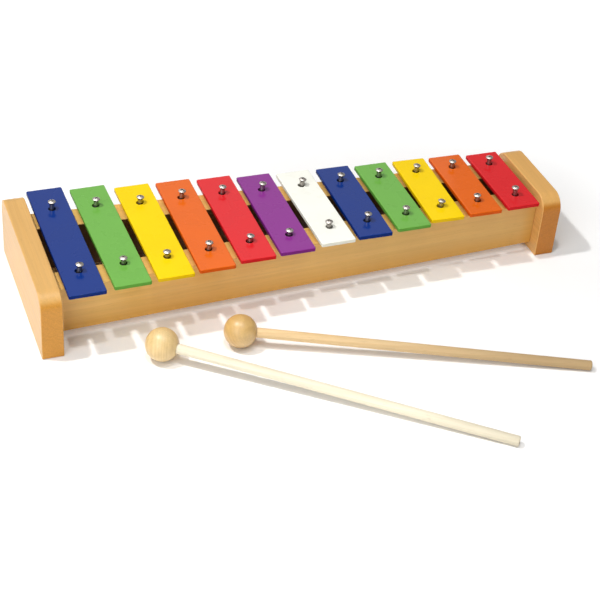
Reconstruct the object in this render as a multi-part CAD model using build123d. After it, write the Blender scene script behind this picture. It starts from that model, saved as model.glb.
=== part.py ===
"""Toy metallophone: twelve painted metal bars on a tapered wooden frame, with two wooden mallets.

Millimetres, +Z up. X runs along the row from the longest bar to the shortest, Y from front to back.
The origin is the middle of the whole set's footprint, on the table.
"""

import math
import os

from build123d import *

# Row of bars.
BAR_COLOURS = (
    "blue", "green", "yellow", "orange", "red", "purple",
    "white", "blue", "green", "yellow", "orange", "red",
)
SCALE_SEMITONES = (0, 2, 4, 5, 7, 9, 11, 12, 14, 16, 17, 19)
SEMITONES_PER_HALVED_LENGTH = 24
BAR_PITCH = 30.0
BAR_WIDTH = 25.4
BAR_THICKNESS = 2.8
BAR_CORNER_RADIUS = 1.0
BAR_EDGE_RADIUS = 0.4
LONGEST_BAR = 129.0
# Share of a bar's length from each end to its screw: close to where the bar stays still when struck.
NODE_SHARE = 0.203
BAR_HOLE_RADIUS = 2.6

# How each bar sits: the screws are driven by hand, so no bar is quite square or centred.
BAR_SIDESTEP = (-0.2, 0.4, 1.0, 0.9, 1.0, 0.3, 0.9, 0.6, 0.9, 0.2, 0.1, 0.5)
BAR_SETBACK = (2.0, 1.0, -1.0, -0.5, 0, -1.0, -0.5, -0.5, -0.5, 1.0, 0.5, -0.5)
BAR_TURN = (0.5, 1.0, 0.5, 0, 0, 0, 0.8, -0.8, 0, -2.0, -1.0, 0)

# Wooden frame.
END_GAP = 4.0
BLOCK_THICKNESS = 15.0
BLOCK_HEIGHT = 49.5
BLOCK_DEPTH_LEFT = 129.0
BLOCK_DEPTH_RIGHT = 77.5
BLOCK_TOP_RADIUS = 12.0
BLOCK_FOOT_RADIUS = 1.2
BLOCK_EDGE_RADIUS = 0.8
RAIL_WIDTH = 20.0
RAIL_BOTTOM = 6.0
RAIL_TOP = 41.0
RAIL_EDGE_RADIUS = 0.6
# Distance of each rail's outer face from the centre line, at the left block and at the right block.
RAIL_OUTER = {"front": (45.8, 28.8), "rear": (47.2, 31.2)}

# Hidden dowels that hold the rails to the blocks.
DOWEL_RADIUS = 4.0
DOWEL_LENGTH = 19.0
DOWEL_HOLE_DEPTH = 10.0
DOWEL_HEIGHTS = (15.0, 31.0)
GLUE_GAP = 0.05

# Felt washer under each bar and the raised countersunk screw that stands up through it.
WASHER_RADIUS = 5.0
WASHER_BORE_RADIUS = 2.2
WASHER_THICKNESS = 3.4
SCREW_HEAD_RADIUS = 2.7
SCREW_DOME_HEIGHT = 1.0
SCREW_RIM_HEIGHT = 0.3
SCREW_CONE_HEIGHT = 1.3
SCREW_NECK_RADIUS = 1.75
SCREW_LENGTH = 30.0
SCREW_POINT_LENGTH = 4.0
SCREW_HOLE_EXTRA_DEPTH = 0.5
CROSS_LENGTH = 3.0
CROSS_WIDTH = 0.7
CROSS_DEPTH = 1.1
# Height of each screw's rim above its bar, and how far its head leans along the row, in degrees.
SCREW_RISE = {
    "front": (5.3, 4.4, 4.3, 5.6, 4.5, 3.6, 4.6, 5.8, 5.3, 4.5, 4.8, 6.4),
    "rear": (6.0, 5.4, 4.8, 5.6, 5.3, 5.4, 5.0, 5.1, 5.6, 5.0, 5.1, 5.7),
}
SCREW_LEAN = {
    "front": (4.4, 0, -1, 2.1, 4.5, 2.0, -2.8, 2.6, 0, 4.8, -4.8, -3.5),
    "rear": (0, 2.6, 2.1, 3.6, 2.6, 4.0, 4.5, 1.8, 0, 2.8, -1, -2.8),
}

# Mallets: wooden ball on a round stick, lying on the table.
BALL_RADIUS = 11.5
STICK_RADIUS = 3.5
STICK_END_CHAMFER = 0.6
BALL_FLAT_RADIUS = 4.2
BALL_HOLE_DEPTH = 13.0
# Ball centre from the middle of the bar row, the stick's heading and its reach from the ball's centre.
MALLETS = {
    "mallet_1": (-120.1, -82.7, -36.5, 242.2),
    "mallet_2": (-65.4, -82.4, -21.6, 239.6),
}

BAR_COUNT = len(BAR_COLOURS)
INNER_HALF_LENGTH = (BAR_COUNT - 1) * BAR_PITCH / 2 + BAR_WIDTH / 2 + END_GAP
BAR_BOTTOM = RAIL_TOP + WASHER_THICKNESS
BAR_TOP = BAR_BOTTOM + BAR_THICKNESS


def row_name(side):
    return "front" if side < 0 else "rear"


def bar_length(index):
    """A bar an octave higher is shorter by the square root of two."""
    return LONGEST_BAR * 2 ** (-SCALE_SEMITONES[index] / SEMITONES_PER_HALVED_LENGTH)


def bar_place(index):
    """Where a bar's middle sits over the rails, and how it is turned."""
    x = (index - (BAR_COUNT - 1) / 2) * BAR_PITCH + BAR_SIDESTEP[index]
    return Pos(x, BAR_SETBACK[index], 0) * Rot(0, 0, BAR_TURN[index])


def screw_places(side):
    """One place per bar, at the rail's top, for the front (side -1) or rear (side 1) row of screws."""
    reach = 0.5 - NODE_SHARE
    return [bar_place(i) * Pos(0, side * reach * bar_length(i), RAIL_TOP) for i in range(BAR_COUNT)]


def leaning_places(side):
    """The same places with each screw's own lean about the rail's top."""
    leans = SCREW_LEAN[row_name(side)]
    return [place * Rot(0, lean, 0) for place, lean in zip(screw_places(side), leans)]


def screw_rims(side):
    """Height of each screw's rim above the rail's top."""
    bar_top = BAR_TOP - RAIL_TOP
    return [bar_top + rise for rise in SCREW_RISE[row_name(side)]]


def column(place, radius, low, high):
    """Upright cylinder between two heights."""
    return place * Pos(0, 0, (low + high) / 2) * Cylinder(radius, high - low)


def bar(index):
    """Flat painted plate with eased edges and two plain holes."""
    length = bar_length(index)
    outline = RectangleRounded(BAR_WIDTH, length, BAR_CORNER_RADIUS)
    plate = extrude(outline, BAR_THICKNESS)
    rims = plate.faces().filter_by(Axis.Z).edges()
    plate = fillet(rims, BAR_EDGE_RADIUS)
    for side in (-1, 1):
        place = Pos(0, side * (0.5 - NODE_SHARE) * length, 0)
        plate -= column(place, BAR_HOLE_RADIUS, -1, BAR_THICKNESS + 1)
    return bar_place(index) * Pos(0, 0, BAR_BOTTOM) * plate


def rail_faces(side, end):
    """Y of a rail's outer and inner faces where it meets the left (end -1) or right (end 1) block."""
    outer = RAIL_OUTER[row_name(side)][0 if end < 0 else 1]
    return side * outer, side * (outer - RAIL_WIDTH)


def dowel_places(end, side):
    """Dowel axes at one end of one rail, each on the joint between rail and block."""
    y = sum(rail_faces(side, end)) / 2
    return [Pos(end * INNER_HALF_LENGTH, y, z) * Rot(0, 90, 0) for z in DOWEL_HEIGHTS]


def dowel_bores(ends, sides):
    """Blind holes for the dowels, reaching the same depth into rail and block."""
    radius = DOWEL_RADIUS + GLUE_GAP
    return [
        place * Cylinder(radius, 2 * DOWEL_HOLE_DEPTH)
        for end in ends
        for side in sides
        for place in dowel_places(end, side)
    ]


def dowels(end):
    """The four glued dowels at one end of the frame."""
    return [place * Cylinder(DOWEL_RADIUS, DOWEL_LENGTH) for side in (-1, 1) for place in dowel_places(end, side)]


def rail(side):
    """Wooden rail standing on edge, with its ends cut to lie flat on the blocks."""
    outer = [(end * INNER_HALF_LENGTH, rail_faces(side, end)[0]) for end in (-1, 1)]
    inner = [(end * INNER_HALF_LENGTH, rail_faces(side, end)[1]) for end in (1, -1)]
    plan = Pos(0, 0, RAIL_BOTTOM) * make_face(Polyline(*outer, *inner, close=True))
    body = extrude(plan, RAIL_TOP - RAIL_BOTTOM, dir=(0, 0, 1))
    long_edges = [edge for edge in body.edges() if edge.length > INNER_HALF_LENGTH]
    body = fillet(long_edges, RAIL_EDGE_RADIUS)
    for place, rim in zip(leaning_places(side), screw_rims(side)):
        hole_bottom = rim - SCREW_LENGTH - SCREW_HOLE_EXTRA_DEPTH
        body -= column(place, SCREW_NECK_RADIUS + GLUE_GAP, hole_bottom, 1)
    for bore in dowel_bores((-1, 1), (side,)):
        body -= bore
    return body


def block(end, depth):
    """End block: upright board with both top corners well rounded and every edge eased."""
    body = Pos(0, 0, BLOCK_HEIGHT / 2) * Box(BLOCK_THICKNESS, depth, BLOCK_HEIGHT)
    body = fillet(body.edges().filter_by(Axis.X).group_by(Axis.Z)[-1], BLOCK_TOP_RADIUS)
    body = fillet(body.edges().filter_by(Axis.X).group_by(Axis.Z)[0], BLOCK_FOOT_RADIUS)
    rims = body.faces().filter_by(Axis.X).edges()
    body = fillet(rims, BLOCK_EDGE_RADIUS)
    body = Pos(end * (INNER_HALF_LENGTH + BLOCK_THICKNESS / 2), 0, 0) * body
    for bore in dowel_bores((end,), (-1, 1)):
        body -= bore
    return body


def washer(place):
    """Felt ring between rail and bar."""
    ring = column(place, WASHER_RADIUS, 0, WASHER_THICKNESS)
    return ring - column(place, WASHER_BORE_RADIUS, -1, WASHER_THICKNESS + 1)


def screw():
    """Raised countersunk head with a cross recess, plain neck and point; the rim is at height zero."""
    dome_radius = (SCREW_HEAD_RADIUS**2 + SCREW_DOME_HEIGHT**2) / (2 * SCREW_DOME_HEIGHT)
    half_angle = math.asin(SCREW_HEAD_RADIUS / dome_radius) / 2
    drop = dome_radius * (1 - math.cos(half_angle))
    shoulder = (dome_radius * math.sin(half_angle), SCREW_DOME_HEIGHT - drop)
    crown = (0, SCREW_DOME_HEIGHT)
    sides = Polyline(
        crown,
        (0, -SCREW_LENGTH),
        (SCREW_NECK_RADIUS, SCREW_POINT_LENGTH - SCREW_LENGTH),
        (SCREW_NECK_RADIUS, -SCREW_RIM_HEIGHT - SCREW_CONE_HEIGHT),
        (SCREW_HEAD_RADIUS, -SCREW_RIM_HEIGHT),
        (SCREW_HEAD_RADIUS, 0),
    )
    dome = ThreePointArc((SCREW_HEAD_RADIUS, 0), shoulder, crown)
    blank = revolve(Plane.XZ * make_face([*sides.edges(), dome]), Axis.Z)
    slot = Pos(0, 0, SCREW_DOME_HEIGHT) * Box(CROSS_LENGTH, CROSS_WIDTH, 2 * CROSS_DEPTH)
    return blank - slot - Rot(0, 0, 90) * slot


def screws(side):
    """One row of screws, each driven to its own height, lean and turn by hand."""
    blank = screw()
    quarter_turn = 90
    step = 37
    return [
        place * Pos(0, 0, rim) * Rot(0, 0, (number * step) % quarter_turn) * blank
        for number, (place, rim) in enumerate(zip(leaning_places(side), screw_rims(side)))
    ]


def mallet_parts(reach):
    """Ball and stick along +X, with the ball's centre at the origin."""
    flat = math.sqrt(BALL_RADIUS**2 - BALL_FLAT_RADIUS**2)
    hole_end = flat - BALL_HOLE_DEPTH
    along_x = Rot(0, 90, 0)
    trim = Pos(flat + BALL_RADIUS, 0, 0) * Box(2 * BALL_RADIUS, 2 * BALL_RADIUS, 2 * BALL_RADIUS)
    bore_length = BALL_RADIUS - hole_end
    bore = Pos(hole_end + bore_length / 2, 0, 0) * along_x * Cylinder(STICK_RADIUS + GLUE_GAP, bore_length)
    ball = Sphere(BALL_RADIUS) - trim - bore
    start = hole_end + GLUE_GAP
    length = reach - start
    stick = Pos(start + length / 2, 0, 0) * along_x * Cylinder(STICK_RADIUS, length)
    far_rim = stick.edges().filter_by(GeomType.CIRCLE).group_by(Axis.X)[-1]
    return ball, chamfer(far_rim, STICK_END_CHAMFER)


def mallet_place(x, y, heading, reach):
    """Lay a mallet down so that its ball and the far end of its stick both touch the table."""
    rim = reach - STICK_END_CHAMFER
    droop = math.asin(BALL_RADIUS / math.hypot(rim, STICK_RADIUS)) - math.atan(STICK_RADIUS / rim)
    return Pos(x, y, BALL_RADIUS) * Rot(0, 0, heading) * Rot(0, math.degrees(droop), 0)


def solids_of(pieces):
    """All separate solids of a piece or a list of pieces."""
    listed = pieces if isinstance(pieces, list) else [pieces]
    return [solid for piece in listed for solid in piece.solids()]


def build():
    """Every node by name, as a list of separate solids, about the middle of the bar row."""
    nodes = {
        "end_block_left": block(-1, BLOCK_DEPTH_LEFT),
        "end_block_right": block(1, BLOCK_DEPTH_RIGHT),
        "dowels_left": dowels(-1),
        "dowels_right": dowels(1),
    }
    for side in (-1, 1):
        name = row_name(side)
        nodes[f"rail_{name}"] = rail(side)
        nodes[f"felt_washers_{name}"] = [washer(place) for place in screw_places(side)]
        nodes[f"screws_{name}"] = screws(side)
    for index, colour in enumerate(BAR_COLOURS):
        nodes[f"bar_{index + 1:02d}_{colour}"] = bar(index)
    for name, (x, y, heading, reach) in MALLETS.items():
        ball, stick = mallet_parts(reach)
        place = mallet_place(x, y, heading, reach)
        nodes[f"{name}_head"] = place * ball
        nodes[f"{name}_stick"] = place * stick
    return {name: solids_of(pieces) for name, pieces in nodes.items()}


def main():
    """Centre the set's footprint on the origin and write one file per node."""
    nodes = build()
    everything = Compound([solid for solids in nodes.values() for solid in solids])
    box = everything.bounding_box()
    to_origin = Pos(-box.center().X, -box.center().Y, 0)
    os.makedirs("parts", exist_ok=True)
    for name, solids in nodes.items():
        export_step(Compound([to_origin * solid for solid in solids]), f"parts/{name}.step")
    print("footprint", box.size.X, box.size.Y, "height", box.size.Z)
    print("row middle", -box.center().X, -box.center().Y, "lowest", box.min.Z)


main()
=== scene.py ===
"""Looks for the toy metallophone: procedural wood, gloss paint, nickel screws and felt.

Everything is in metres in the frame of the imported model.
"""

import math
import random

import bmesh
import bpy
from mathutils import Matrix, Vector
from mathutils.geometry import tessellate_polygon


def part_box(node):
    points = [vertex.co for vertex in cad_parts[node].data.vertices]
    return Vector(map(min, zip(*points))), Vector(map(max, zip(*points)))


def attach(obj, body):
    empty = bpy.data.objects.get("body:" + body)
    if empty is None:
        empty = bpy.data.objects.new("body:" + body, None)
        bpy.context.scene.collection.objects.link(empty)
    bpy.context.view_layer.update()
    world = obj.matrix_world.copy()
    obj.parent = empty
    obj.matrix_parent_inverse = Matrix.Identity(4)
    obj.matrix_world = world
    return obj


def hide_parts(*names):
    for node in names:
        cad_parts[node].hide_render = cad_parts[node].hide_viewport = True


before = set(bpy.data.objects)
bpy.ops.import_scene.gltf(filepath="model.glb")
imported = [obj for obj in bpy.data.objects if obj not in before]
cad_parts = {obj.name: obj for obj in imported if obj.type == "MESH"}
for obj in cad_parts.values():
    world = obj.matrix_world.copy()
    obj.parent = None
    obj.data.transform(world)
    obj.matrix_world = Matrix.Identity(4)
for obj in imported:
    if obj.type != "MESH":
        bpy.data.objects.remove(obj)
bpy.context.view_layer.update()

MM = 0.001
BAR_NAMES = sorted(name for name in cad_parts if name.startswith("bar_"))
ROOT_BODY = "frame"

# How each bar is turned on its screws, in degrees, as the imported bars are.
BAR_TURN = (0.5, 1.0, 0.5, 0, 0, 0, 0.8, -0.8, 0, -2.0, -1.0, 0)
BAR_WIDTH = 25.4 * MM
BAR_CORNER = 1.0 * MM
BAR_TOP_EDGE = 0.5 * MM
BAR_BOTTOM_EDGE = 0.25 * MM
# Distance of each screw hole from the bar's end, as a share of its length.
NODE_SHARE = 0.203
HOLE_RADIUS = 2.6 * MM
HOLE_EDGE = 0.2 * MM

BLOCK_TOP_RADIUS = 12 * MM
BLOCK_FOOT_RADIUS = 1.2 * MM
BLOCK_EASE = 0.8 * MM
RAIL_EASE = 0.6 * MM

# A face counts as a plate's edge when its normal rises less than this.
UPRIGHT = 0.6
# Flat margin just inside a rim, so that smooth shading stays at the edge.
BLOCK_MARGIN = 0.3 * MM
BAR_MARGIN = 0.5 * MM
SHARPEST_BEND = 0.02 * MM

# The ball and stick are drawn this much inside their packed surfaces.
BALL_INSET = 0.02 * MM
BALL_FLAT = 4.2 * MM
BALL_BORE = 3.5 * MM
BORE_DEPTH = 4 * MM
BALL_STEPS = 48
BALL_AROUND = 96
STICK_RADIUS = 3.46 * MM
STICK_UNEVENNESS = 0.05
STICK_ROUNDING = 1.1 * MM
STICK_STEPS = 60
STICK_AROUND = 48
TIP_DEPTH = 0.05 * MM
# Vertices this close to a rail's end belong to its end face.
END_REACH = 0.1 * MM

# Colours of each kind of timber: pale early wood, darker late wood, end grain.
# Painted shade: the rails turn darker and redder towards their bottom.
LOW_SHADE_COLOUR = (0.62, 0.29, 0.035)
# Painted shade: near-black colour laid on the rails' inner faces.
INNER_SHADE = (0.105, 0.034, 0.015)
LACQUERED = {"contrast": 0.5, "gloss": 0.34, "coat": 0.22, "sheen": 0.25}
BARE = {"contrast": 0.5, "gloss": 0.55, "coat": 0.0, "sheen": 0.5}
TURNED = {"contrast": 0.45, "gloss": 0.40, "coat": 0.90, "sheen": 0.36}
LEFT_BOARD = {
    "early": (0.70, 0.405, 0.132), "late": (0.60, 0.32, 0.086), "end": (0.63, 0.280, 0.036), **LACQUERED,
}
RIGHT_BOARD = {
    "early": (0.72, 0.40, 0.125), "late": (0.63, 0.325, 0.085), "end": (0.51, 0.175, 0.010), **LACQUERED,
}
RAIL_BOARD = {
    "early": (0.82, 0.485, 0.140), "late": (0.73, 0.40, 0.092), "end": (0.50, 0.25, 0.06), **LACQUERED,
    "contrast": 0.45,
}
DOWEL = {"early": (0.62, 0.44, 0.25), "late": (0.52, 0.34, 0.17), "end": (0.45, 0.28, 0.13), **BARE}
BALL_PALE = {"early": (0.75, 0.54, 0.25), "late": (0.61, 0.39, 0.14), "end": (0.75, 0.54, 0.255), **TURNED}
# Painted highlight: this ball's end-grain colour is lighter than its wood, so where it faces along Y it looks
# lit.
BALL_TAN = {"early": (0.66, 0.42, 0.150), "late": (0.41, 0.215, 0.053), "end": (0.71, 0.475, 0.20), **TURNED}
STICK_PALE = {"early": (0.81, 0.74, 0.575), "late": (0.70, 0.60, 0.41), "end": (0.55, 0.42, 0.25), **BARE}
STICK_TAN = {"early": (0.77, 0.555, 0.30), "late": (0.66, 0.42, 0.185), "end": (0.36, 0.24, 0.12), **BARE}

# Width of the growth rings in each kind of timber, in millimetres.
RINGS = {"block": 3.4, "rail": 6.5, "dowel": 1.6, "ball": 2.6, "stick": 1.7}
# How each block was sawn: the pith's distance along X from the board and its height.
BLOCKS = {"left": ((0.050, 0.110), LEFT_BOARD), "right": ((-0.055, 0.120), RIGHT_BOARD)}
# Each rail's pith along Y from the board, and which way its inner face looks; that face gets painted shade.
RAILS = {"front": (0.085, 1), "rear": (-0.060, -1)}
RAIL_PITH_HEIGHT = -0.07
# Along X, from here to there, painted shade darkens the rails by up to this share.
RAIL_SHADE_FADE = (-0.08, 0.10, 0, 0.30)
# Heights between which the painted shade at the rails' bottom fades out.
RAIL_LOW_SHADE = (0.014, 0.030)
DOWEL_PITH = (0, 0.02, 0.01)
# Each mallet's ball and stick, the ball's grain direction and the pith's offset from its centre.
MALLETS = {
    "1": (BALL_PALE, STICK_PALE, "Z", (-0.045, 0.012, 0)),
    "2": (BALL_TAN, STICK_TAN, "Y", (0.003, 0, 0.003)),
}
# Along each stick from its ball, from here to there, painted shade darkens the wood by up to this share.
STICK_SHADE_FADE = {"1": (0.16, 0.25, 0, 0.36), "2": (0.02, 0.23, 0, 0.64)}
STICK_PITH_HEIGHT = -0.01

# Paint colours of the bars. Their upright edges get darker copies, painted shade, in which the strongest
# channels hold up best.
PAINT = {
    "blue": (0.002, 0.030, 0.215),
    "green": (0.155, 0.425, 0.064),
    "yellow": (0.90, 0.62, 0.003),
    "orange": (0.77, 0.130, 0.004),
    "red": (0.715, 0.016, 0.022),
    "purple": (0.25, 0.027, 0.26),
    "white": (0.925, 0.92, 0.83),
}
COAT = {"yellow": 0.22}
USUAL_COAT = 0.7
RIM_COAT = 0.1
RIM_PAINTED_SHADE = 0.62
RIM_HOLD = 0.6
# Painted light on the screws: lit colour on top, shaded colour on shanks and under heads.
NICKEL_SHADED = (0.27, 0.255, 0.24)
NICKEL_LIT = (0.70, 0.65, 0.60)
FELT_GREY = (0.30, 0.28, 0.25)

# Table top, and a glow that grows with distance from the middle until the table is blank white.
FLOOR_WHITE = (0.97, 0.97, 0.97)
FLOOR_SIZE = 8.0
GLOW_NEAR, GLOW_FAR, GLOW = 0.19, 0.50, 0.42
# A faint glow under and just before the front rail, standing in for light bounced there.
UNDER_GLOW = 0.19
BEFORE_GLOW = 0.013
GLOW_END = 0.006

WORLD_COLOUR = (1.0, 0.99, 0.97, 1)
WORLD_STRENGTH = 0.185
EXPOSURE = -0.035
# Lamps: name, kind, place, aim, power and settings. Suns are in W/m2, the others in watts.
LAMPS = (
    ("overhead", "SUN", (-0.30, -0.20, 1), (0, 0, 0), 0.40, {"angle": math.radians(60)}),
    ("side", "SUN", (-0.77, -0.64, 0.52), (0, 0, 0), 0.90, {"angle": math.radians(45)}),
    ("backdrop", "AREA", (0.35, 2.20, 1.50), (0, 0.08, 0.04), 3.0,
     {"shape": "RECTANGLE", "size": 1.8, "size_y": 1.6}),
    ("key_left", "AREA", (-0.627, 0.191, 1.22), (0, 0.06, 0), 9.3, {"shape": "DISK", "size": 0.08}),
    ("key_front", "AREA", (-0.215, -0.202, 1.765), (0, 0.0, 0), 6.3, {"shape": "DISK", "size": 0.10}),
    ("fill_front", "AREA", (-0.62, -0.52, 0.36), (0, 0.05, 0.03), 0.9, {"shape": "DISK", "size": 0.6}),
    ("mallet_pool", "SPOT", (0.04, -0.44, 0.90), (-0.02, -0.19, 0), 14.0,
     {"spot_size": math.radians(31), "spot_blend": 1.0, "shadow_soft_size": 0.20}),
)
# Camera place in metres, angles in degrees and lens in millimetres.
CAMERA = {
    "place": (-0.34275, -0.75350, 0.63857), "yaw": -22.957, "pitch": 36.693, "roll": 4.947, "lens": 90.58,
}
SENSOR_WIDTH = 36.0


# ---------------------------------------------------------------- mesh helpers


def arc(cx, cy, radius, start, end, steps):
    """Points along a circular arc, with angles in degrees."""
    turn = [math.radians(start + (end - start) * k / steps) for k in range(steps + 1)]
    return [(cx + radius * math.cos(a), cy + radius * math.sin(a)) for a in turn]


def board_outline(half_u, low_v, high_v, low_radius, high_radius, steps):
    """Function giving a counter-clockwise rounded rectangle, drawn in by an inset."""

    def ring(inset):
        points = []
        for u, v, radius, start in (
            (1, low_v, low_radius, -90),
            (1, high_v, high_radius, 0),
            (-1, high_v, high_radius, 90),
            (-1, low_v, low_radius, 180),
        ):
            bend = max(radius - inset, SHARPEST_BEND)
            toward = 1 if v == low_v else -1
            centre = (u * (half_u - inset - bend), v + toward * (inset + bend))
            points += arc(*centre, bend, start, start + 90, steps)
        return points

    return ring


def hole_outline(u, v, radius, steps=48):
    """Function giving a circle that an inset makes wider."""
    return lambda inset: arc(u, v, radius + inset, 0, 360 - 360 / steps, steps - 1)


def eased_levels(depth, low_ease, high_ease, margin, steps=5):
    """(height, inset) through a plate, quarter-round at each face, with a flat margin inside each rim."""
    turns = [math.pi / 2 * k / steps for k in range(steps + 1)]
    low = [(low_ease * (1 - math.sin(a)), low_ease * (1 - math.cos(a))) for a in reversed(turns)]
    high = [
        (depth - height * high_ease / low_ease, inset * high_ease / low_ease)
        for height, inset in reversed(low)
    ]
    return [(0, low_ease + margin), *low, *high, (depth, high_ease + margin)]


def plate(outline, holes, depth, low_ease, high_ease, hole_ease, margin):
    """Verts and faces of a flat plate with eased rims, in its own (u, v, height) space."""
    verts, faces = [], []
    first, last = [], []
    shapes = [(outline, False, low_ease, high_ease)] + [(hole, True, hole_ease, hole_ease) for hole in holes]
    for ring, inner, low, high in shapes:
        stack = []
        for height, inset in eased_levels(depth, low, high, margin):
            start = len(verts)
            points = ring(inset)
            verts += [(u, v, height) for u, v in points]
            stack.append(list(range(start, len(verts))))
        for lower, upper in zip(stack, stack[1:]):
            for k in range(len(lower)):
                m = (k + 1) % len(lower)
                quad = [lower[k], lower[m], upper[m], upper[k]]
                faces.append(quad[::-1] if inner else quad)
        first.append(stack[0])
        last.append(stack[-1])
    for rings, upward in ((first, False), (last, True)):
        flat = [index for ring in rings for index in ring]
        for triangle in tessellate_polygon([[Vector(verts[i]) for i in ring] for ring in rings]):
            corners = [flat[i] for i in triangle]
            a, b, c = (Vector(verts[i]) for i in corners)
            faces.append(corners if ((b - a).cross(c - a).z > 0) == upward else corners[::-1])
    return verts, faces


def mesh_object(name, verts, faces, material, rim=None):
    """A smooth-shaded mesh object whose broad faces keep flat normals.

    A second material goes on its upright faces; on the bars it is a darker copy of the paint, painted shade.
    """
    mesh = bpy.data.meshes.new(name)
    mesh.from_pydata([tuple(v) for v in verts], [], faces)
    mesh.validate()
    mesh.shade_smooth()
    mesh.materials.append(material)
    if rim:
        mesh.materials.append(rim)
        for face in mesh.polygons:
            face.material_index = int(abs(face.normal.z) < UPRIGHT)
    obj = bpy.data.objects.new(name, mesh)
    bpy.context.scene.collection.objects.link(obj)
    weighted = obj.modifiers.new("flat_faces", "WEIGHTED_NORMAL")
    weighted.weight = 50
    weighted.keep_sharp = True
    return obj


def lathe(profile, around):
    """Turned solid from (radius, along) pairs, closed at both ends."""
    verts, faces, rings = [], [], []
    for radius, along in profile:
        if radius < 1e-7:
            rings.append([len(verts)])
            verts.append((0, 0, along))
            continue
        rings.append(list(range(len(verts), len(verts) + around)))
        turns = (2 * math.pi * k / around for k in range(around))
        verts += [(radius * math.cos(t), radius * math.sin(t), along) for t in turns]
    for a, b in zip(rings, rings[1:]):
        for k in range(around):
            n = (k + 1) % around
            corners = [a[k % len(a)], a[n % len(a)], b[n % len(b)], b[k % len(b)]]
            faces.append(list(dict.fromkeys(corners)))
    for ring in (rings[0], rings[-1]):
        if len(ring) > 2:
            faces.append(list(ring))
    return verts, faces


def stand_for(obj, body, slot, *nodes):
    """Ride on a body in place of its CAD nodes."""
    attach(obj, body)
    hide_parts(*nodes)
    return obj


# ------------------------------------------------------------ material helpers


class Shader:
    """Short way to wire up one material's nodes."""

    def __init__(self, name):
        self.material = bpy.data.materials.new(name)
        self.material.use_nodes = True
        self.tree = self.material.node_tree
        self.tree.nodes.clear()
        self.out = self.tree.nodes.new("ShaderNodeOutputMaterial")
        self.surface = self.tree.nodes.new("ShaderNodeBsdfPrincipled")
        self.tree.links.new(self.surface.outputs[0], self.out.inputs[0])

    def put(self, socket, value):
        if isinstance(value, bpy.types.NodeSocket):
            self.tree.links.new(value, socket)
        elif value is not None:
            socket.default_value = value

    def set(self, **values):
        """Set or link the surface's sockets, with underscores for spaces."""
        for key, value in values.items():
            self.put(self.surface.inputs[key.replace("_", " ")], value)

    def position(self):
        node = self.tree.nodes.new("ShaderNodeTexCoord")
        return node.outputs["Object"]

    def mapping(self, vector, location=(0, 0, 0), rotation=(0, 0, 0), scale=(1, 1, 1)):
        node = self.tree.nodes.new("ShaderNodeMapping")
        self.put(node.inputs["Vector"], vector)
        node.inputs["Location"].default_value = location
        node.inputs["Rotation"].default_value = rotation
        node.inputs["Scale"].default_value = scale
        return node.outputs[0]

    def noise(self, vector, scale, detail=2.0, roughness=0.5, distortion=0.0):
        node = self.tree.nodes.new("ShaderNodeTexNoise")
        self.put(node.inputs["Vector"], vector)
        node.inputs["Scale"].default_value = scale
        node.inputs["Detail"].default_value = detail
        node.inputs["Roughness"].default_value = roughness
        node.inputs["Distortion"].default_value = distortion
        return node.outputs["Fac"]

    def math(self, operation, a, b=None, c=None):
        node = self.tree.nodes.new("ShaderNodeMath")
        node.operation = operation
        for socket, value in zip(node.inputs, (a, b, c)):
            self.put(socket, value)
        return node.outputs[0]

    def length(self, a, b):
        """Distance from the origin of a plane point given by its two coordinates."""
        return self.math("SQRT", self.math("ADD", self.math("POWER", a, 2.0), self.math("POWER", b, 2.0)))

    def split(self, vector):
        node = self.tree.nodes.new("ShaderNodeSeparateXYZ")
        self.put(node.inputs[0], vector)
        return node.outputs

    def ramp(self, value, low, high, to_low=0.0, to_high=1.0):
        """Value remapped from one range to another, clamped, with soft ends."""
        node = self.tree.nodes.new("ShaderNodeMapRange")
        node.interpolation_type = "SMOOTHSTEP"
        self.put(node.inputs["Value"], value)
        for key, number in (("From Min", low), ("From Max", high), ("To Min", to_low), ("To Max", to_high)):
            node.inputs[key].default_value = number
        return node.outputs["Result"]

    def mix(self, factor, a, b):
        """Blend of two colours, each a socket or plain numbers."""
        node = self.tree.nodes.new("ShaderNodeMix")
        node.data_type = "RGBA"
        self.put(node.inputs["Factor"], factor)
        for socket, colour in zip([n for n in node.inputs if n.type == "RGBA"], (a, b)):
            self.put(socket, colour if isinstance(colour, bpy.types.NodeSocket) else (*colour, 1))
        return next(n for n in node.outputs if n.type == "RGBA")

    def tint(self, colour, value, low, high):
        """Colour made darker or lighter by a 0 to 1 value."""
        grey = self.ramp(value, 0, 1, low, high)
        node = self.tree.nodes.new("ShaderNodeVectorMath")
        node.operation = "SCALE"
        self.put(node.inputs[0], colour)
        self.put(node.inputs["Scale"], grey)
        return node.outputs[0]

    def bump(self, height, distance, strength=1.0, normal=None):
        node = self.tree.nodes.new("ShaderNodeBump")
        self.put(node.inputs["Height"], height)
        node.inputs["Distance"].default_value = distance
        node.inputs["Strength"].default_value = strength
        if normal is not None:
            self.put(node.inputs["Normal"], normal)
        return node.outputs[0]

    def facing_axis(self, axis, turn):
        """How squarely the surface faces along an axis of the piece, from 0 to 1."""
        geometry = self.tree.nodes.new("ShaderNodeNewGeometry")
        turned = self.mapping(geometry.outputs["Normal"], rotation=(0, 0, math.radians(turn)))
        return self.math("ABSOLUTE", self.split(turned)["XYZ".index(axis)])

    def facing(self, axis):
        """How far the surface faces along an axis of the frame, from -1 to 1."""
        geometry = self.tree.nodes.new("ShaderNodeNewGeometry")
        return self.split(geometry.outputs["Normal"])[axis]

    def plain(self, colour):
        node = self.tree.nodes.new("ShaderNodeRGB")
        node.outputs[0].default_value = (*colour, 1)
        return node.outputs[0]

    def soft_edges(self, radius):
        """Normals rounded over at sharp edges."""
        node = self.tree.nodes.new("ShaderNodeBevel")
        node.samples = 4
        node.inputs["Radius"].default_value = radius
        return node.outputs[0]


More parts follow.
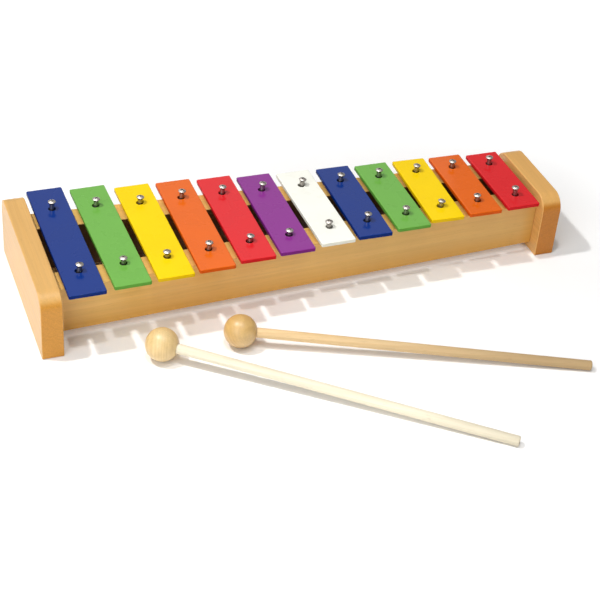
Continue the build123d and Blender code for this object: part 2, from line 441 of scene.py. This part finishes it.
def wood(name, look, axis="Y", turn=0.0, pith=(0, 0, 0), ring=3.0, painted_fade=None, low_shade=None, shaded_side=None):
    """Timber with growth rings about a pith line, fibres, pores and darker end grain, under clear lacquer,
    with optional painted shade along it, towards its bottom and on an inner face.
    """
    s = Shader(name)
    place = s.mapping(s.position(), location=tuple(-c for c in pith))
    if turn:
        place = s.mapping(place, rotation=(0, 0, math.radians(turn)))
    order = {"X": (0, 1, 2), "Y": (1, 0, 2), "Z": (2, 0, 1)}[axis]

    def stretched(amount):
        scale = [1.0, 1.0, 1.0]
        scale[order[0]] = amount
        return s.mapping(place, scale=tuple(scale))

    xyz = s.split(place)
    wander = s.noise(stretched(0.08), 26, detail=4, roughness=0.55)
    radius = s.math("ADD", s.length(xyz[order[1]], xyz[order[2]]), s.math("MULTIPLY", wander, 0.012))
    ripple = s.math("SINE", s.math("MULTIPLY", radius, 350.0))
    uneven = s.math("ADD", radius, s.math("MULTIPLY", ripple, 0.0011))
    phase = s.math("FRACT", s.math("DIVIDE", uneven, ring * MM))
    latewood = s.math("MULTIPLY", s.ramp(phase, 0.10, 0.85), s.ramp(phase, 0.86, 1.0, 1.0, 0.0))
    strength = s.ramp(s.noise(stretched(0.12), 40, detail=2), 0.35, 0.70, 0.25, 1.0)
    fibres = s.noise(stretched(0.014), 2400, detail=3, roughness=0.6)
    streaks = s.noise(stretched(0.020), 420, detail=3, roughness=0.6)
    pores = s.ramp(s.noise(stretched(0.09), 2100, detail=1), 0.67, 0.75)
    clouds = s.noise(stretched(0.30), 22, detail=3)
    rings_part = s.math("MULTIPLY", s.math("MULTIPLY", latewood, strength), look["contrast"])
    colour = s.mix(rings_part, look["early"], look["late"])
    colour = s.tint(colour, fibres, 0.93, 1.06)
    colour = s.tint(colour, streaks, 0.90, 1.09)
    colour = s.tint(colour, clouds, 0.90, 1.09)
    colour = s.mix(s.math("MULTIPLY", pores, 0.30), colour, [0.60 * c for c in look["late"]])
    # Painted shade along the piece.
    if painted_fade:
        along = s.ramp(xyz[order[0]], *painted_fade)
        colour = s.mix(along, colour, [0.40 * c for c in look["late"]])
    # Painted shade towards the bottom of the piece.
    if low_shade:
        waver = s.math("MULTIPLY", s.noise(stretched(0.05), 30), 0.016)
        height = s.math("ADD", s.split(s.position())["Z"], waver)
        colour = s.mix(s.ramp(height, low_shade[0], low_shade[1], 0.6, 0.0), colour, LOW_SHADE_COLOUR)
    # Painted shade: each rail's inner face is darkened to near-black.
    if shaded_side:
        inward = s.ramp(s.math("MULTIPLY", s.facing("Y"), shaded_side), 0.4, 0.9, 0.0, 0.80)
        colour = s.mix(inward, colour, INNER_SHADE)
    squarely = s.ramp(s.facing_axis(axis, turn), 0.72, 0.96)
    end_grain = s.mix(s.math("MULTIPLY", rings_part, 0.6), look["end"], [0.82 * c for c in look["end"]])
    end_grain = s.tint(end_grain, s.noise(place, 1400, detail=2), 0.84, 1.12)
    colour = s.mix(squarely, colour, end_grain)
    height = s.math("ADD", s.math("MULTIPLY", fibres, 0.6), s.math("MULTIPLY", latewood, 0.3))
    height = s.math("SUBTRACT", height, s.math("MULTIPLY", pores, 0.7))
    s.set(
        Base_Color=colour,
        Roughness=s.ramp(fibres, 0.2, 0.8, look["gloss"] - 0.05, look["gloss"] + 0.12),
        Normal=s.bump(height, 0.00003, 0.6),
        Specular_IOR_Level=0.28,
        Coat_Weight=look["coat"],
        Coat_Roughness=look["sheen"],
    )
    return s.material


def paint(name, colour, coat):
    """Gloss powder coat on metal: faint orange peel, cloudy tone, thin scratches."""
    s = Shader(name)
    place = s.position()
    clouds = s.noise(place, 55, detail=3)
    speckle = s.noise(place, 2400, detail=2, roughness=0.7)
    base = s.tint(s.plain(colour), clouds, 0.955, 1.04)
    base = s.tint(base, speckle, 0.97, 1.03)
    marks = s.noise(s.mapping(place, rotation=(0, 0, 0.6), scale=(1, 0.03, 1)), 3200, detail=1)
    scratches = s.ramp(marks, 0.74, 0.80)
    peel = s.noise(place, 620, detail=2, roughness=0.45)
    rough = s.math("ADD", s.ramp(clouds, 0.3, 0.7, 0.24, 0.34), s.math("MULTIPLY", scratches, 0.12))
    s.set(
        Base_Color=base,
        Roughness=rough,
        Specular_IOR_Level=0.25 * coat,
        Coat_Weight=coat,
        Coat_Roughness=0.06,
        Normal=s.bump(peel, 0.00002, 0.5),
        Coat_Normal=s.bump(peel, 0.000012, 0.5),
    )
    return s.material


def nickel(name):
    """Nickel plate with painted light: lighter on top and painted shade on shanks and under heads, with
    softened edges.
    """
    s = Shader(name)
    place = s.position()
    haze = s.noise(place, 900, detail=3)
    fine = s.noise(place, 9000, detail=1)
    # Painted light and shade by which way the surface faces.
    lit_facing = s.ramp(s.facing("Z"), -0.25, 0.60)
    metal = s.mix(lit_facing, NICKEL_SHADED, NICKEL_LIT)
    s.set(
        Base_Color=s.tint(metal, haze, 0.86, 1.06),
        Metallic=1.0,
        Roughness=s.math("ADD", s.ramp(haze, 0.25, 0.75, 0.30, 0.42), s.math("MULTIPLY", lit_facing, 0.16)),
        Normal=s.bump(fine, 0.000004, 0.5, s.soft_edges(0.00012)),
    )
    return s.material


def felt(name, colour):
    """Pressed wool felt: matted fibres, mottled grey."""
    s = Shader(name)
    place = s.position()
    tufts = s.noise(place, 2600, detail=4, roughness=0.7, distortion=1.2)
    blotches = s.noise(place, 420, detail=2)
    s.set(
        Base_Color=s.tint(s.tint(s.plain(colour), tufts, 0.6, 1.35), blotches, 0.85, 1.12),
        Roughness=0.95,
        Specular_IOR_Level=0.1,
        Sheen_Weight=0.4,
        Sheen_Roughness=0.5,
        Normal=s.bump(tufts, 0.0002, 0.8),
    )
    return s.material


# ---------------------------------------------------------------------- pieces


def middle(node):
    low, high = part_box(node)
    return (low + high) / 2


def make_blocks():
    """End boards: outline in YZ, extruded along X, grain running front to back."""
    for side, (pith, look) in BLOCKS.items():
        node = f"end_block_{side}"
        low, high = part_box(node)
        half = (high.y - low.y) / 2
        outline = board_outline(half, low.z, high.z, BLOCK_FOOT_RADIUS, BLOCK_TOP_RADIUS, steps=14)
        verts, faces = plate(outline, [], high.x - low.x, BLOCK_EASE, BLOCK_EASE, 0, BLOCK_MARGIN)
        mid = middle(node)
        placed = [(low.x + h, mid.y + u, v) for u, v, h in verts]
        pith_place = (mid.x + pith[0], 0, pith[1])
        material = wood(f"wood_{node}", look, "Y", pith=pith_place, ring=RINGS["block"])
        stand_for(mesh_object(f"{node}_board", placed, faces, material), ROOT_BODY, "frame_wood", node)


def rail_ends(node):
    """A rail's box corners, and its near and far Y at its left and right ends."""
    low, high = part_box(node)
    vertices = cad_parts[node].data.vertices
    ends = []
    for x in (low.x, high.x):
        ys = [v.co.y for v in vertices if abs(v.co.x - x) < END_REACH]
        ends.append((min(ys), max(ys)))
    return low, high, ends


def make_rails():
    """Rails: straight skewed boards with every edge eased, grain along their length."""
    for side, (pith, shaded_side) in RAILS.items():
        node = f"rail_{side}"
        low, high, ends = rail_ends(node)
        mesh = bmesh.new()
        corners = [
            mesh.verts.new((x, y, z))
            for x, ys in zip((low.x, high.x), ends)
            for y in ys
            for z in (low.z, high.z)
        ]
        bmesh.ops.convex_hull(mesh, input=corners)
        bmesh.ops.dissolve_limit(mesh, angle_limit=0.02, verts=mesh.verts, edges=mesh.edges)
        bmesh.ops.recalc_face_normals(mesh, faces=mesh.faces)
        edges = list(mesh.edges)
        bmesh.ops.bevel(mesh, geom=edges, offset=RAIL_EASE, segments=4, profile=0.5, affect="EDGES")
        verts = [v.co.copy() for v in mesh.verts]
        mesh.verts.index_update()
        faces = [[v.index for v in f.verts] for f in mesh.faces]
        mesh.free()
        slope = (sum(ends[1]) - sum(ends[0])) / 2 / (high.x - low.x)
        turn = -math.degrees(math.atan(slope))
        pith_place = (0, middle(node).y + pith, RAIL_PITH_HEIGHT)
        material = wood(
            f"wood_{node}", RAIL_BOARD, "X", turn, pith=pith_place, ring=RINGS["rail"],
            painted_fade=RAIL_SHADE_FADE, low_shade=RAIL_LOW_SHADE, shaded_side=shaded_side,
        )
        stand_for(mesh_object(f"{node}_board", verts, faces, material), ROOT_BODY, "frame_wood", node)


def make_bars():
    """Painted plates, turned and placed as their CAD nodes are."""
    paints = {
        colour: paint(f"paint_{colour}", rgb, COAT.get(colour, USUAL_COAT)) for colour, rgb in PAINT.items()
    }
    # Darker copies of each paint for the upright edges: painted shade.
    shaded_rims = {
        colour: paint(f"rim_{colour}", [c * RIM_PAINTED_SHADE ** (1 - RIM_HOLD * c) for c in rgb], RIM_COAT)
        for colour, rgb in PAINT.items()
    }
    for index, node in enumerate(BAR_NAMES):
        low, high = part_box(node)
        turn = math.radians(BAR_TURN[index])
        # The box of a turned rectangle gives back the bar's own length.
        length = ((high.y - low.y) - BAR_WIDTH * math.sin(abs(turn))) / math.cos(turn)
        outline = board_outline(BAR_WIDTH / 2, -length / 2, length / 2, BAR_CORNER, BAR_CORNER, steps=6)
        reach = (0.5 - NODE_SHARE) * length
        holes = [hole_outline(0, side * reach, HOLE_RADIUS) for side in (-1, 1)]
        depth = high.z - low.z
        verts, faces = plate(outline, holes, depth, BAR_BOTTOM_EDGE, BAR_TOP_EDGE, HOLE_EDGE, BAR_MARGIN)
        place = Matrix.Translation(Vector((*middle(node).xy, low.z))) @ Matrix.Rotation(turn, 4, "Z")
        placed = [place @ Vector(v) for v in verts]
        colour = node.split("_")[2]
        obj = mesh_object(f"{node}_plate", placed, faces, paints[colour], shaded_rims[colour])
        stand_for(obj, f"{node}_body", f"paint_{colour}", node)


def set_material(node, material):
    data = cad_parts[node].data
    data.materials.clear()
    data.materials.append(material)


def make_trim():
    """Screws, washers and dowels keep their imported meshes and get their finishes."""
    metal = nickel("nickel")
    wool = felt("felt", FELT_GREY)
    beech = wood("wood_dowels", DOWEL, "X", pith=DOWEL_PITH, ring=RINGS["dowel"])
    for side in ("front", "rear"):
        set_material(f"screws_{side}", metal)
        set_material(f"felt_washers_{side}", wool)
    for side in ("left", "right"):
        set_material(f"dowels_{side}", beech)


def make_mallets():
    """Turned balls and round sticks, laid along the line from ball centre to stick end."""
    for number, (ball_look, stick_look, grain_axis, pith) in MALLETS.items():
        head, stick = f"mallet_{number}_head", f"mallet_{number}_stick"
        centre = middle(head)
        radius = centre.z - BALL_INSET
        points = [v.co.copy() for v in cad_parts[stick].data.vertices]
        far = max((p - centre).length for p in points)
        end = [p for p in points if (p - centre).length > far - TIP_DEPTH]
        tip = sum(end, Vector()) / len(end)
        axis = (tip - centre).normalized()
        reach = max((p - centre).dot(axis) for p in points)
        place = Matrix.Translation(centre) @ axis.to_track_quat("Z", "Y").to_matrix().to_4x4()
        heading = math.degrees(math.atan2(axis.y, axis.x))
        verts, faces = lathe(ball_profile(radius), BALL_AROUND)
        grain = wood(
            f"wood_{head}", ball_look, grain_axis, pith=centre + Vector(pith), ring=RINGS["ball"],
        )
        ball = mesh_object(f"{head}_ball", [place @ Vector(v) for v in verts], faces, grain)
        stand_for(ball, f"mallet_{number}", "mallet_ball_wood", head)
        verts, faces = lathe(stick_profile(radius, reach), STICK_AROUND)
        grain = wood(
            f"wood_{stick}", stick_look, "X", -heading,
            pith=(*centre.xy, STICK_PITH_HEIGHT), ring=RINGS["stick"], painted_fade=STICK_SHADE_FADE[number],
        )
        rod = mesh_object(f"{stick}_rod", [place @ Vector(v) for v in verts], faces, grain)
        stand_for(rod, f"mallet_{number}", "mallet_stick_wood", stick)


def ball_profile(radius):
    """Ball from the far pole to the flat around the stick, with the flat's rim eased."""
    edge = math.asin(BALL_FLAT / radius)
    profile = []
    for k in range(BALL_STEPS + 1):
        a = math.pi - (math.pi - edge - 0.05) * k / BALL_STEPS
        profile.append((max(radius * math.sin(a), 0), radius * math.cos(a)))
    flat = radius * math.cos(edge)
    profile += [(BALL_FLAT - 0.1 * MM, flat + 0.02 * MM), (BALL_FLAT - 0.5 * MM, flat)]
    return profile + [(BALL_BORE, flat - 0.1 * MM), (BALL_BORE, flat - BORE_DEPTH)]


def stick_profile(radius, reach):
    """Stick from inside the ball to its far end, slightly uneven, with a softened rim."""
    random.seed(7)
    start = radius - BORE_DEPTH
    profile = [(0, start), (STICK_RADIUS - 0.06 * MM, start)]
    for k in range(1, STICK_STEPS):
        along = start + (reach - STICK_ROUNDING - start) * k / STICK_STEPS
        profile.append((STICK_RADIUS - random.uniform(0, STICK_UNEVENNESS) * MM, along))
    for k in range(7):
        a = math.pi / 2 * k / 6
        profile.append((
            STICK_RADIUS - STICK_ROUNDING * (1 - math.cos(a)),
            reach - STICK_ROUNDING * (1 - math.sin(a)),
        ))
    return profile + [(0, reach)]


# ----------------------------------------------------------------------- stage


def rail_glow(s, xyz):
    """Faint glow on the table under the front rail and just before it, between the end blocks."""
    low, high, (left, right) = rail_ends("rail_front")
    slope = (right[0] - left[0]) / (high.x - low.x)
    edge = s.math("MULTIPLY_ADD", s.math("SUBTRACT", xyz["X"], low.x), slope, left[0])
    ahead = s.math("SUBTRACT", edge, xyz["Y"])
    under = s.math("MULTIPLY", s.ramp(ahead, -0.016, -0.004), s.ramp(ahead, -0.002, 0.002, 1, 0))
    before = s.math("MULTIPLY", s.ramp(ahead, -0.004, 0.001), s.ramp(ahead, 0.004, 0.034, 1, 0))
    glow = s.math("ADD", s.math("MULTIPLY", under, UNDER_GLOW), s.math("MULTIPLY", before, BEFORE_GLOW))
    between_blocks = s.ramp(s.math("ABSOLUTE", xyz["X"]), high.x - GLOW_END, high.x, 1, 0)
    return s.math("MULTIPLY", glow, between_blocks)


def make_floor():
    """Plain pale table top."""
    s = Shader("floor_white")
    grain = s.noise(s.position(), 30, detail=4)
    xyz = s.split(s.position())
    surround = s.ramp(s.length(xyz["X"], xyz["Y"]), GLOW_NEAR, GLOW_FAR, 0, GLOW)
    s.set(
        Base_Color=s.tint(s.plain(FLOOR_WHITE), grain, 0.99, 1.01),
        Roughness=0.8,
        Specular_IOR_Level=0.1,
        Emission_Color=(1, 1, 1, 1),
        Emission_Strength=s.math("ADD", surround, rail_glow(s, xyz)),
    )
    mesh = bpy.data.meshes.new("floor")
    corners = [(x * FLOOR_SIZE, y * FLOOR_SIZE, 0) for x, y in ((-1, -1), (1, -1), (1, 1), (-1, 1))]
    mesh.from_pydata(corners, [], [(0, 1, 2, 3)])
    mesh.materials.append(s.material)
    floor = bpy.data.objects.new("floor", mesh)
    bpy.context.scene.collection.objects.link(floor)


def light(name, kind, place, aim, power, settings):
    """A lamp at a place, pointing at another."""
    data = bpy.data.lights.new(name, kind)
    data.energy = power
    for key, value in settings.items():
        setattr(data, key, value)
    obj = bpy.data.objects.new(name, data)
    obj.visible_camera = False
    obj.location = place
    obj.rotation_euler = (Vector(aim) - Vector(place)).to_track_quat("-Z", "Y").to_euler()
    bpy.context.scene.collection.objects.link(obj)


def make_lights():
    """Soft, pale studio surround and its lamps."""
    world = bpy.data.worlds.new("studio")
    bpy.context.scene.world = world
    world.use_nodes = True
    background = world.node_tree.nodes["Background"]
    background.inputs["Color"].default_value = WORLD_COLOUR
    background.inputs["Strength"].default_value = WORLD_STRENGTH
    for lamp in LAMPS:
        light(*lamp)


def make_camera():
    """Camera at its place, turned by yaw, then pitch, then roll."""
    data = bpy.data.cameras.new("camera")
    data.sensor_width = SENSOR_WIDTH
    data.lens = CAMERA["lens"]
    camera = bpy.data.objects.new("camera", data)
    yaw, pitch, roll = (math.radians(CAMERA[key]) for key in ("yaw", "pitch", "roll"))
    forward = Vector((-math.sin(yaw) * math.cos(pitch), math.cos(yaw) * math.cos(pitch), -math.sin(pitch)))
    right = Vector((math.cos(yaw), math.sin(yaw), 0))
    up = right.cross(forward)
    tilted_right = math.cos(roll) * right + math.sin(roll) * up
    tilted_up = math.cos(roll) * up - math.sin(roll) * right
    rotation = Matrix((tilted_right, tilted_up, -forward)).transposed()
    camera.matrix_world = Matrix.Translation(CAMERA["place"]) @ rotation.to_4x4()
    bpy.context.scene.collection.objects.link(camera)
    bpy.context.scene.camera = camera


make_blocks()
make_rails()
make_bars()
make_trim()
make_mallets()
make_floor()
make_lights()
make_camera()
bpy.context.scene.view_settings.view_transform = "Standard"
bpy.context.scene.view_settings.exposure = EXPOSURE
